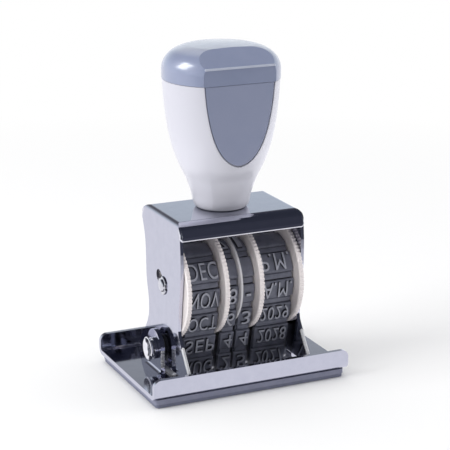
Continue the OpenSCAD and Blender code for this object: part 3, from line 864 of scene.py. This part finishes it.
def foot_edge(name, side):
    """Rounded front edge of one flared foot, near white as a painted highlight; side is -1 left,
    +1 right.
    """
    points = []
    for (z0, y0), (z1, y1) in zip(FOOT_LINE, FOOT_LINE[1:]):
        points += [(z0 + (z1 - z0) * i / 8, y0 + (y1 - y0) * i / 8) for i in range(8)]
    points.append(FOOT_LINE[-1])
    last = len(points) - 1
    across = Vector((1, 0, 0))
    bm = bmesh.new()
    rings = []
    for i, (z, y) in enumerate(points):
        a, b = points[max(i - 1, 0)], points[min(i + 1, last)]
        t = Vector((0, b[1] - a[1], b[0] - a[0])).normalized()
        normal = Vector((0, -t.z, t.y))
        r = 0.47 if 0 < i < last else 0.12
        centre = Vector((side * (FRAME_HALF - 0.45), y, z)) - normal * 0.18
        angles = [2 * math.pi * k / 20 for k in range(20)]
        rings.append([bm.verts.new((centre + across * r * math.cos(angle)
                                    + normal * r * math.sin(angle)) * MM)
                      for angle in angles])
    tube(bm, rings)
    return finish_mesh(bm, name, "cut")


def ear_teeth(name, side):
    """Fine raised teeth on the front edge of one ear of the die plate, near white as a painted
    highlight.
    """
    x0, x1 = FRAME_HALF + 1.0 + 0.05, FRAME_HALF + 2.2 - 0.05
    stations = ((x0, 0.06), (x0 + 0.08, 0.13), (x1 - 0.08, 0.13), (x1, 0.06))
    first_z, pitch, y = 5.0, 0.42, -4.66
    bm = bmesh.new()
    for i in range(12):
        tube(bm, [ring_about_x(bm, side * x, y, first_z + i * pitch, [r] * 14)
                  for x, r in stations])
    return finish_mesh(bm, name, "cut", body="die_plate")


HEM_R = 0.50
HEM_STEPS = 20
SHEET_T = 0.9
CORNER_R = 1.4      # rounding of the frame's upper side edges
CORNER_INSET = 0.42
HEM_END = FRAME_HALF - 0.40
BEND_ANGLES = (13, 18, 24, 34, 44, 54, 64, 74, 84, 90)


def hem_path(bend_y, tip_y, low_z):
    """Down the left edge of a brow, along its lower edge and up the right edge."""
    outward = 1 if tip_y > bend_y else -1
    bend_r = abs(tip_y - bend_y)
    mid_r = bend_r - SHEET_T / 2
    centre_z = FRAME_TOP - bend_r
    tip = bend_y + outward * mid_r

    def half_width(z):
        # the ends follow the frame's rounded upper edges
        rise = min(max(z + CORNER_INSET - (FRAME_TOP - CORNER_R), 0.0), CORNER_R - 0.01)
        corner = (FRAME_HALF - CORNER_R + math.sqrt(CORNER_R ** 2 - rise * rise)
                  - CORNER_INSET)
        return min(HEM_END, corner)

    bend = [(bend_y + outward * mid_r * math.sin(math.radians(a)),
             centre_z + mid_r * math.cos(math.radians(a))) for a in BEND_ANGLES]
    end, turn, cut = HEM_END, 0.45, 0.12
    path = [(-half_width(z), y, z - 0.04) for y, z in bend]
    path += [(-end, tip, low_z + turn), (-end + cut, tip, low_z + 0.13)]
    path += [(-end + turn, tip, low_z)]
    path += [(-end + turn + (2 * end - 2 * turn) * i / 24, tip, low_z) for i in range(1, 24)]
    path += [(end - turn, tip, low_z), (end - cut, tip, low_z + 0.13)]
    path += [(end, tip, low_z + turn)]
    path += [(half_width(z), y, z - 0.04) for y, z in reversed(bend)]
    return path


def in_step(points, previous):
    """Rotates, and if need be reverses, a ring so it lies closest to the previous one."""
    count = len(points)

    def gap(ring, stride=1):
        return sum((ring[i] - previous[i]).length for i in range(0, count, stride))

    choices = []
    for ring in (points, points[::-1]):
        turned = [ring[k:] + ring[:k] for k in range(count)]
        choices.append(min(turned, key=lambda option: gap(option, stride=4)))
    return min(choices, key=gap)


def hem(name, bend_y, tip_y, low_z):
    """Rounded sheet edge of one brow of the frame."""
    path = hem_path(bend_y, tip_y, low_z)
    last = len(path) - 1
    bm = bmesh.new()
    rings = []
    points = None
    for i, place in enumerate(path):
        direction = (Vector(path[min(i + 1, last)]) - Vector(path[max(i - 1, 0)])).normalized()
        u = Vector((0, 1, 0)) if abs(direction.x) > 0.5 else Vector((1, 0, 0))
        v = direction.cross(u).normalized()
        u = v.cross(direction).normalized()
        r = HEM_R * (0.45 if i in (0, last) else 1.0)
        previous = points
        angles = [2 * math.pi * k / HEM_STEPS for k in range(HEM_STEPS)]
        points = [Vector(place) + (u * math.cos(a) + v * math.sin(a)) * r for a in angles]
        if previous is not None:
            points = in_step(points, previous)
        rings.append([bm.verts.new(point * MM) for point in points])
    tube(bm, rings)
    return finish_mesh(bm, name, "hem")


foot_edge("left_foot_edge", -1)
foot_edge("right_foot_edge", 1)
ear_teeth("left_ear_teeth", -1)
ear_teeth("right_ear_teeth", 1)
hem("front_hem", bend_y=-9.6, tip_y=-13.6, low_z=42.50)
hem("rear_hem", bend_y=8.9, tip_y=13.1, low_z=42.50)

# ------------------------------------------------------------------ axle
AXLE_END = box_mm("axle")[1][0]
PIN_R = 1.98
DOME_R = 1.70
DOME_START = FRAME_HALF + 0.42
# retaining ring and pin end: (radius, x beyond the frame's side, depth of the three notches)
PIN_END = [(PIN_R, 0.02, 0), (2.45, 0.03, 0.42), (2.53, 0.10, 0.45), (2.53, 0.30, 0.45),
           (2.45, 0.38, 0.42), (1.92, 0.40, 0), (1.86, 0.34, 0), (1.72, 0.34, 0),
           (DOME_R, 0.42, 0)]


def axle_pin():
    """Pin through the frame with a notched retaining ring and a domed tip at each end."""
    bm = bmesh.new()
    count = 96

    def ring(x, radius, notch):
        radii = []
        for i in range(count):
            a = 2 * math.pi * i / count
            wave = 0.5 + 0.5 * math.cos(3 * (a - math.radians(60)))
            radii.append(radius - notch * smoothstep(0.72, 0.9, wave))
        return ring_about_x(bm, x, AXLE_Y, AXLE_Z, radii)

    half = [(PIN_R, 0.0, 0)] + [(r, FRAME_HALF + dx, notch) for r, dx, notch in PIN_END]
    for degrees in (12, 24, 36, 48, 60, 70, 80):
        a = math.radians(degrees)
        half.append((DOME_R * math.cos(a),
                     DOME_START + (AXLE_END - FRAME_HALF - 0.42) * math.sin(a), 0))
    rings = [ring(-x, r, notch) for r, x, notch in reversed(half)]
    rings += [ring(x, r, notch) for r, x, notch in half[1:]]
    grid_faces(bm, rings)
    bm.faces.new(list(reversed(rings[0])))
    bm.faces.new(rings[-1])
    return finish_mesh(bm, "axle_pin", "axle", sharp=50, replaces=("axle",))


axle_pin()

# ------------------------------------------------------------------ lights
# some lights fall on the handle only, so the metal does not mirror them
handle_lit = bpy.data.collections.new("handle_lit")
for handle_obj in (cap_obj, grip_obj, shield_obj):
    handle_lit.objects.link(handle_obj)


def area(name, place, target, size, power, glossy=True, diffuse=True, handle_only=False):
    light = bpy.data.lights.new(name, "AREA")
    light.shape = "RECTANGLE"
    light.size, light.size_y = size
    light.energy = power
    obj = bpy.data.objects.new(name, light)
    scene.collection.objects.link(obj)
    obj.location = place
    obj.rotation_euler = (target - place).to_track_quat("-Z", "Y").to_euler()
    obj.visible_glossy = glossy
    obj.visible_diffuse = diffuse
    obj.visible_camera = False
    if handle_only:
        obj.light_linking.receiver_collection = handle_lit


middle = Vector(((cad_bounds[0][0] + cad_bounds[1][0]) / 2, 0, 0.045))
neck = Vector((0, 0, 0.052))
area("overhead", Vector((-0.05, -0.05, 0.9)), middle, size=(0.7, 0.7), power=1.6,
     glossy=False)
area("left_key", middle + Vector((-0.88, 0.02, 0.46)) * 0.8, middle, size=(0.45, 0.45),
     power=3.6, glossy=False)
area("right_fill", middle + Vector((0.94, -0.20, 0.08)) * 0.8, middle, size=(0.35, 0.36),
     power=2.2, glossy=False)
area("neck_bounce", neck + Vector((0.94, -0.25, 0.0)) * 0.036, neck, size=(0.02, 0.012),
     power=0.0032, glossy=False, handle_only=True)
area("left_box", middle + Vector((-0.74, 0.30, 0.60)) * 0.6, middle, size=(0.22, 0.28),
     power=2.2, diffuse=False, handle_only=True)
area("neck_bounce_left", neck + Vector((-0.90, -0.30, -0.06)) * 0.032, neck,
     size=(0.012, 0.008), power=0.0013, glossy=False, handle_only=True)

# ------------------------------------------------------------------ world
TOWARDS_CAMERA = (-0.05, -1.0, 0.05)
# what mirrors see, from straight down (0) to straight up (1): (position, colour)
SKY_DOWN = (0.75, 0.75, 0.82)
SKY_UP = (0.020, 0.023, 0.036)
SKY_STOPS = [(0.50, (0.72, 0.74, 0.82)), (0.62, (0.44, 0.49, 0.58)),
             (0.67, (0.30, 0.32, 0.36)), (0.72, (0.09, 0.09, 0.11)),
             (0.85, (0.03, 0.033, 0.05))]


def build_world():
    world = bpy.data.worlds.new("studio")
    scene.world = world
    tree = clear_tree(world)
    out = add_node(tree, "ShaderNodeOutputWorld")
    background = add_node(tree, "ShaderNodeBackground")
    tree.links.new(background.outputs[0], out.inputs[0])
    direction = add_node(tree, "ShaderNodeTexCoord").outputs["Generated"]
    axes = add_node(tree, "ShaderNodeSeparateXYZ")
    tree.links.new(direction, axes.inputs[0])
    ramp = add_node(tree, "ShaderNodeValToRGB")
    tree.links.new(remap(tree, axes.outputs["Z"], start=-1.0, end=1.0), ramp.inputs["Fac"])
    stops = ramp.color_ramp.elements
    stops[0].color = (*SKY_DOWN, 1)
    stops[1].color = (*SKY_UP, 1)
    for position, colour in SKY_STOPS:
        stops.new(position).color = (*colour, 1)

    facing = vector_math(tree, "DOT_PRODUCT", direction, TOWARDS_CAMERA, output="Value")
    # the soft light is weakest from the side the camera stands on
    soft = mix(tree, remap(tree, facing, start=0.1, end=0.9), (0.86, 0.86, 0.88),
               (0.36, 0.36, 0.39))
    # mirrors facing the camera side look into the unlit room
    sky = vector_math(tree, "MULTIPLY", ramp.outputs["Color"], (1.48, 1.48, 1.38))
    mirrored = mix(tree, remap(tree, facing, start=0.45, end=0.75), sky,
                   (0.050, 0.054, 0.075))
    rays = add_node(tree, "ShaderNodeLightPath")
    lit = mix(tree, rays.outputs["Is Glossy Ray"], soft, mirrored)
    # the camera itself sees plain white
    seen = mix(tree, rays.outputs["Is Camera Ray"], lit, (1.0, 1.0, 1.0))
    tree.links.new(seen, background.inputs["Color"])


build_world()

# ------------------------------------------------------------------ floor
FLOOR_HALF = 3.0
FLOOR_Z = -0.0002


def floor_surface(tree):
    """Pale matt paper that mirrors see as glowing, and dark towards the front."""
    paper = add_node(tree, "ShaderNodeBsdfDiffuse")
    paper.inputs["Color"].default_value = (0.86, 0.86, 0.85, 1)
    glow = add_node(tree, "ShaderNodeEmission")
    coords = add_node(tree, "ShaderNodeTexCoord")
    axes = add_node(tree, "ShaderNodeSeparateXYZ")
    tree.links.new(coords.outputs["Object"], axes.inputs[0])
    backward = remap(tree, axes.outputs["Y"], start=-0.150, end=-0.085)
    colour = mix(tree, backward, (0.066, 0.070, 0.094), (0.98, 0.98, 1.03))
    tree.links.new(colour, glow.inputs["Color"])
    rays = add_node(tree, "ShaderNodeLightPath")
    return mix_shader(tree, rays.outputs["Is Glossy Ray"], paper.outputs[0], glow.outputs[0])


def fade_far(tree, surface):
    """For the camera, fades the surface to white far from the stamp."""
    geometry = add_node(tree, "ShaderNodeNewGeometry")
    distance = vector_math(tree, "LENGTH", geometry.outputs["Position"], output="Value")
    rays = add_node(tree, "ShaderNodeLightPath")
    fade = add_node(tree, "ShaderNodeMath", operation="MULTIPLY")
    tree.links.new(remap(tree, distance, start=0.13, end=0.34), fade.inputs[0])
    tree.links.new(rays.outputs["Is Camera Ray"], fade.inputs[1])
    white = add_node(tree, "ShaderNodeEmission")
    white.inputs["Color"].default_value = (1, 1, 1, 1)
    return mix_shader(tree, fade.outputs["Value"], surface, white.outputs[0])


def build_floor():
    mesh = bpy.data.meshes.new("floor")
    corners = [(x * FLOOR_HALF, y * FLOOR_HALF, FLOOR_Z)
               for x, y in ((-1, -1), (1, -1), (1, 1), (-1, 1))]
    mesh.from_pydata(corners, [], [(0, 1, 2, 3)])
    floor = bpy.data.objects.new("floor", mesh)
    scene.collection.objects.link(floor)
    mat = bpy.data.materials.new("floor")
    tree = clear_tree(mat)
    out = add_node(tree, "ShaderNodeOutputMaterial")
    tree.links.new(fade_far(tree, floor_surface(tree)), out.inputs["Surface"])
    mesh.materials.append(mat)


build_floor()


# ------------------------------------------------------------------ camera
def build_camera():
    """Long lens in front of the stamp, to its left and a little above."""
    lens = bpy.data.cameras.new("camera")
    camera = bpy.data.objects.new("camera", lens)
    scene.collection.objects.link(camera)
    lens.lens = 126.46
    lens.sensor_width = 36
    lens.shift_x = -0.00093
    lens.clip_start = 0.01
    lens.clip_end = 50
    camera.location = (-0.17124, -0.37269, 0.15949)
    target = Vector((0.001041, 0, 0.041166))
    camera.rotation_euler = (target - camera.location).to_track_quat("-Z", "Y").to_euler()
    scene.camera = camera


build_camera()
scene.view_settings.view_transform = "Standard"
scene.view_settings.look = "None"
